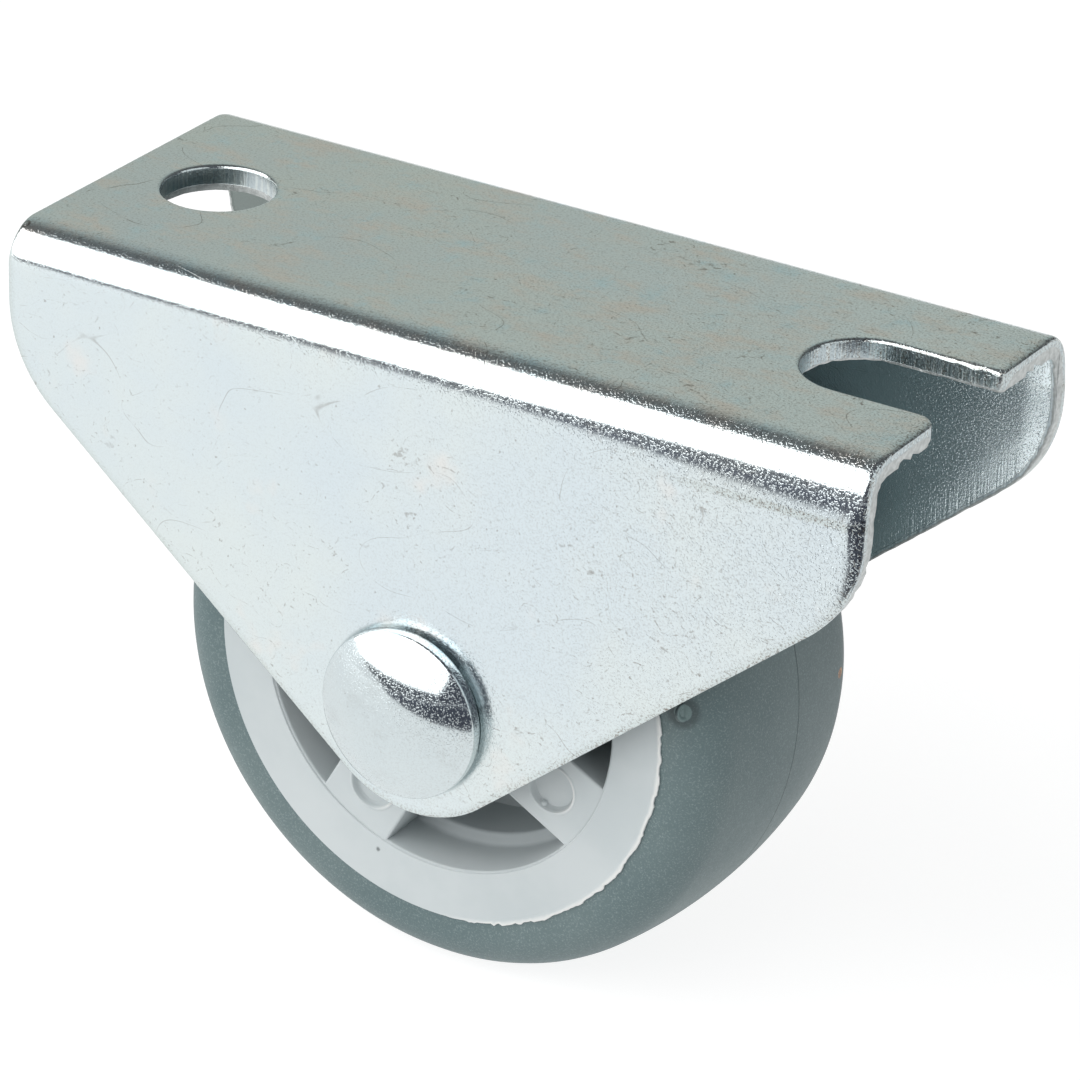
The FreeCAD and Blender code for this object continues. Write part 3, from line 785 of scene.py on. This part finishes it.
def tyre_section(bm):
    """Half-plane section of the tyre: sidewalls, shoulders and crowned tread, with the seat for the rim."""
    lean = math.atan2(shoulder_along, shoulder_across - crown_centre)
    groove = 0.03

    def crown(along, sink=0.0):
        return crown_centre + math.sqrt(crown_radius ** 2 - along ** 2) - sink

    first = bm.verts.new((key_radius, -key_half, 0))
    vert = run_to(bm, first, rim_radius, -key_half)
    vert = run_to(bm, vert, rim_radius, -tyre_half)
    vert = run_to(bm, vert, shoulder_across, -tyre_half)
    vert = turn(bm, vert, shoulder_across, -shoulder_along, math.pi / 2 - lean)
    parting_lean = math.asin((parting_place - groove) / crown_radius)
    vert = turn(bm, vert, crown_centre, 0, lean + parting_lean)
    vert = run_to(bm, vert, crown(parting_place, groove), parting_place)
    vert = run_to(bm, vert, crown(parting_place + groove), parting_place + groove)
    parting_lean = math.asin((parting_place + groove) / crown_radius)
    vert = turn(bm, vert, crown_centre, 0, lean - parting_lean)
    vert = turn(bm, vert, shoulder_across, shoulder_along, math.pi / 2 - lean)
    vert = run_to(bm, vert, rim_radius, tyre_half)
    vert = run_to(bm, vert, rim_radius, key_half)
    vert = run_to(bm, vert, key_radius, key_half)
    vert = run_to(bm, vert, key_radius, -key_half)
    return close_ring(bm, first, vert)


def gate_button(bm):
    """Low button with a hollow top, left on the sidewall where the moulding gate was cut off."""
    ring = bmesh.ops.create_circle(bm, radius=1.0, segments=32)["verts"]
    made = list(ring)
    ways = [vert.co.copy() for vert in ring]
    profile = ((0.6, -0.05), (0.59, 0.07), (0.54, 0.12), (0.44, 0.14), (0.36, 0.12), (0.27, 0.07))
    for vert, way in zip(ring, ways):
        vert.co = way * profile[0][0] + Vector((0, 0, profile[0][1]))
    for radius, height in profile[1:]:
        ring = next_ring(bm, ring, lambda number: ways[number] * radius + Vector((0, 0, height)))
        made += ring
    bmesh.ops.triangle_fill(bm, use_beauty=True, edges=edges_of(ring), normal=(0, 0, 1))
    outward = gate_turn.to_3x3() @ Vector((0, -1, 0))
    stand = outward.to_track_quat("Z", "Y").to_matrix().to_4x4()
    bmesh.ops.transform(bm, matrix=Matrix.Translation(gate_place) @ stand, verts=made)


def tyre_rubber():
    """Satin slate-grey moulding with pale dust, painted shade in a ring round the gate, and one rust fleck.
    """
    material, shader, place = new_finish("tyre_rubber_finish", {"Specular IOR Level": 0.4})
    cloud = place.speckle(90.0, 4.0, 0.6)
    pores = place.speckle(3000.0, 3.0, 0.7)
    dust = place.speckle(8500.0, 2.0, 0.7).between(0.48, 0.75)
    grit = place.speckle(3800.0, 2.0, 0.6).between(0.66, 0.78)
    # painted shade: a dark ring round the gate button where a dimple would be
    gate_dimple_shade = spot(place, gate_place, 0.75, 1.3) * (1 - spot(place, gate_place, 0.52, 0.6))
    gate_top = spot(place, gate_place, 0.5, 0.58)
    from_seam = (coordinate(place, "Y") - (axle.y + parting_place)).maths("ABSOLUTE")
    seam = 1 - from_seam.between(0.03, 0.1)
    rust = spot(place, rust_place, 0.25, 0.42)
    slate = cloud.between(0.3, 0.7).tint((0.084, 0.126, 0.131, 1), (0.108, 0.151, 0.154, 1))
    slate = (dust * 0.33 + grit * 0.15).tint(slate, (0.32, 0.39, 0.39, 1))
    slate = (gate_dimple_shade * 0.6 + seam * 0.4).tint(slate, (0.03, 0.042, 0.044, 1))
    slate = (gate_top * 0.7).tint(slate, (0.15, 0.215, 0.21, 1))
    rust_brown = pores.between(0.4, 0.6).tint((0.22, 0.11, 0.06, 1), (0.55, 0.32, 0.17, 1))
    slate = rust.tint(slate, rust_brown)
    bump = relief(pores * 0.8 + cloud * 2.0, 0.03, 0.6)
    connect(shader, Base_Color=slate, Roughness=pores * 0.2 + 0.4 - gate_top * 0.2, Normal=bump)
    return material


bm = bmesh.new()
section = tyre_section(bm)
bmesh.ops.spin(bm, geom=section + edges_of(section), cent=(0, 0, 0), axis=(0, 1, 0),
               angle=2 * math.pi, steps=tyre_turns, use_merge=True)
bmesh.ops.remove_doubles(bm, verts=bm.verts, dist=1e-4)
bmesh.ops.recalc_face_normals(bm, faces=bm.faces)
for face in bm.faces:
    face.smooth = True
bmesh.ops.translate(bm, vec=axle, verts=bm.verts)
gate_button(bm)
bmesh.ops.recalc_face_normals(bm, faces=bm.faces)
finish_piece(bm, "soft_tyre", "wheel", "tyre", tyre_rubber(), crease=35)

# Axle rivet: turned and headed steel, zinc plated. The domed head bears on the near flange, a little off the
# shank's line, the shank carries the wheel, and the stepped end is formed over on the far flange.
rivet_low, rivet_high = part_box("axle_rivet")
tail_top = rivet_high.y / MM
head_radius = (rivet_high.x - rivet_low.x) / 2 / MM
head_dome = 1.7
head_edge = 1.1
head_round = 0.22
head_wall = 0.42
head_gap = 0.06
head_undercut = 0.21
head_tilt = math.radians(-0.8)
head_root = -half_width + 0.15
head_hollow = 0.8
rivet_turns = 160
tail_radius = 4.3
tail_dome = 1.1
shank_radius = 3.0
tenon_radius = 2.5


def ball_radius(radius, rise):
    """Radius of the ball that a shallow dome is cut from."""
    return (radius ** 2 + rise ** 2) / (2 * rise)


bm = bmesh.new()
step = 0.25
ball = ball_radius(head_radius, head_dome)
head_top = -half_width - head_edge - head_dome
rim_lean = math.asin((head_radius - head_round) / (ball - head_round))
vert = turn(bm, bm.verts.new((0, head_top, 0)), 0, head_top + ball, rim_lean)
round_place = head_top + ball - (ball - head_round) * math.cos(rim_lean)
vert = turn(bm, vert, head_radius - head_round, round_place, math.pi / 2 - rim_lean)
vert = run_to(bm, vert, head_radius, -half_width - head_wall)
vert = run_to(bm, vert, head_radius - head_undercut, -half_width - head_gap)
vert = run_to(bm, vert, head_radius - head_hollow, head_root)
vert = run_to(bm, vert, shank_radius, head_root)
bmesh.ops.spin(bm, geom=bm.verts[:] + bm.edges[:], cent=(0, 0, 0), axis=(0, 1, 0),
               angle=2 * math.pi, steps=rivet_turns, use_merge=True)
seat = Vector((0, -half_width, 0))
tilt = Matrix.Rotation(head_tilt, 3, "X")
bmesh.ops.rotate(bm, cent=seat, matrix=tilt, verts=bm.verts)
bmesh.ops.translate(bm, vec=head_shift, verts=bm.verts)
head_verts = set(bm.verts)
first = bm.verts.new((shank_radius, head_root, 0))
vert = run_to(bm, first, shank_radius, half_width - sheet)
vert = run_to(bm, vert, tenon_radius, half_width - sheet)
vert = run_to(bm, vert, tenon_radius, half_width)
vert = run_to(bm, vert, tail_radius, half_width)
vert = run_to(bm, vert, tail_radius, tail_top - tail_dome)
tail_ball = ball_radius(tail_radius, tail_dome)
vert = turn(bm, vert, 0, tail_top - tail_ball, math.asin(tail_radius / tail_ball))
wire = [vert for vert in bm.verts if vert not in head_verts]
wire += [edge for edge in bm.edges if not head_verts.intersection(edge.verts)]
bmesh.ops.spin(bm, geom=wire, cent=(0, 0, 0), axis=(0, 1, 0),
               angle=2 * math.pi, steps=rivet_turns, use_merge=True)
bmesh.ops.remove_doubles(bm, verts=bm.verts, dist=1e-3)
bmesh.ops.recalc_face_normals(bm, faces=bm.faces)
for face in bm.faces:
    face.smooth = True
bmesh.ops.translate(bm, vec=(0, 0, axle.z), verts=bm.verts)
rivet_finish = zinc_plate(
    "zinc_rivet_finish", roughness=0.05, fineness=1.9, flatness=0.55, grain_depth=0.18, end_depth=0.0,
    scratched=0.0, first=(0.57, 0.64, 0.665, 1), second=(0.615, 0.675, 0.685, 1))
finish_piece(bm, "headed_rivet", "bracket_frame", "axle_rivet", rivet_finish, crease=35)

# Studio: a pale floor, a large soft box in front on the left, a weak one on the right, and a dim room with a
# paler back wall. Two sheets show only in reflections: a dark card beyond the front right edge of the light
# table, and a pale sweep that rises on the left.
floor_height = tyre_low.z
scene = bpy.context.scene
scene.view_settings.view_transform = "Standard"


def toward(azimuth, elevation):
    """Direction from the object, with azimuth 0 at -Y and positive towards +X, in degrees."""
    side = math.radians(azimuth)
    rise = math.radians(elevation)
    return Vector((math.sin(side) * math.cos(rise), -math.cos(side) * math.cos(rise), math.sin(rise)))


def stage_sheet(name, corners, material):
    """Flat sheet of the studio, which isn't part of the object."""
    bm = bmesh.new()
    verts = [bm.verts.new(corner) for corner in corners]
    bmesh.ops.contextual_create(bm, geom=verts)
    bmesh.ops.recalc_face_normals(bm, faces=bm.faces)
    mesh = bpy.data.meshes.new(name)
    bm.to_mesh(mesh)
    bm.free()
    mesh.materials.append(material)
    made = bpy.data.objects.new(name, mesh)
    scene.collection.objects.link(made)
    return made


floor_finish = new_finish("pale_floor_finish", {
    "Base Color": (0.3, 0.3, 0.3, 1), "Roughness": 0.9, "Specular IOR Level": 0.0,
    "Emission Color": (1.0, 1.0, 1.0, 1), "Emission Strength": 0.84})[0]
card_finish = new_finish("dark_card_finish", {
    "Base Color": (0.08, 0.085, 0.11, 1), "Roughness": 1.0, "Specular IOR Level": 0.0})[0]
floor_reach = 3.0
floor_corners = [(x * floor_reach, y * floor_reach, floor_height)
                 for x, y in ((-1, -1), (1, -1), (1, 1), (-1, 1))]
stage_sheet("pale_floor", floor_corners, floor_finish)
card_reach = 2.0
card_gap = 0.0005
lift = Vector((0, 0, floor_height + card_gap))
table_corner = Vector((0.036, -0.056, 0)) + lift
table_run = toward(-36, 0) * card_reach
card_side = toward(105, 0) * card_reach
card_corners = [table_corner, table_corner + table_run, table_corner + table_run + card_side,
                table_corner + card_side]
card = stage_sheet("dark_card", card_corners, card_finish)
sweep_far = 1.5
sweep_ends = [toward(side, 0) * sweep_far + lift for side in (-28, -115)]
sweep_rise = Vector((0, 0, 0.425))
sweep = stage_sheet("pale_sweep", [*sweep_ends, sweep_ends[1] + sweep_rise], floor_finish)
for board in (card, sweep):
    board.visible_camera = False
    board.visible_diffuse = False
    board.visible_shadow = False


def soft_box(name, azimuth, elevation, width, height, radiance, colour):
    """Large rectangular light that faces the object."""
    distance = 0.9
    watts_for_radiance = 4
    light = bpy.data.lights.new(name, "AREA")
    light.shape = "RECTANGLE"
    light.size = width
    light.size_y = height
    light.energy = watts_for_radiance * radiance * width * height
    light.color = colour
    lamp = bpy.data.objects.new(name, light)
    scene.collection.objects.link(lamp)
    way = toward(azimuth, elevation)
    lamp.location = way * distance
    lamp.rotation_mode = "QUATERNION"
    lamp.rotation_quaternion = way.to_track_quat("Z", "Y")


soft_box("front_soft_box", azimuth=-31, elevation=34.2, width=1.86, height=0.95, radiance=2.15,
         colour=(1.0, 0.99, 0.98))
soft_box("side_soft_box", azimuth=84, elevation=20, width=0.9, height=0.85, radiance=0.65,
         colour=(0.97, 1.0, 1.0))

world = bpy.data.worlds.new("studio_room")
scene.world = world
world.use_nodes = True
room = world.node_tree
background = room.nodes["Background"]
direction = Value(room, room.nodes.new("ShaderNodeTexCoord").outputs["Generated"])
back_wall = toward(-147, 24)
facing = direction.node("ShaderNodeVectorMath", {"operation": "DOT_PRODUCT"},
                        {0: direction, 1: back_wall}, out=1)
share = facing * 0.5 + 0.5
glow = share.node("ShaderNodeValToRGB", {"stops": [
    (0.0, (0.085, 0.09, 0.115, 1)), (0.6, (0.11, 0.115, 0.125, 1)), (0.86, (0.16, 0.17, 0.17, 1)),
    (0.95, (0.425, 0.472, 0.452, 1)), (1.0, (0.525, 0.557, 0.513, 1))]}, {"Fac": share})
camera_ray = Value(room, room.nodes.new("ShaderNodeLightPath").outputs["Is Camera Ray"])
shown = camera_ray.tint(glow, (0.9, 0.9, 0.9, 1))
room.links.new(shown.socket, background.inputs["Color"])

# Camera: the photograph's viewpoint, with its long lens and slight roll.
back = toward(31.302, 26.046)
roll = math.radians(1.730)
focal_pixels = 6056.0
frame_pixels = 1080
aim_height = -20.0
side_shift = 0.977
down_shift = -1.960
distance = 373.18
level_right = (-back).cross(Vector((0, 0, 1))).normalized()
level_up = level_right.cross(-back)
right = level_right * math.cos(roll) + level_up * math.sin(roll)
up = level_up * math.cos(roll) - level_right * math.sin(roll)
view = bpy.data.cameras.new("photo_camera")
view.sensor_width = 36.0
view.lens = focal_pixels / frame_pixels * view.sensor_width
view.clip_start = 0.01
camera = bpy.data.objects.new("photo_camera", view)
scene.collection.objects.link(camera)
place = back * distance + Vector((0, 0, aim_height)) + right * side_shift - up * down_shift
turned = Matrix((right, up, back)).transposed().to_4x4()
camera.matrix_world = Matrix.Translation(place * MM) @ turned
scene.camera = camera
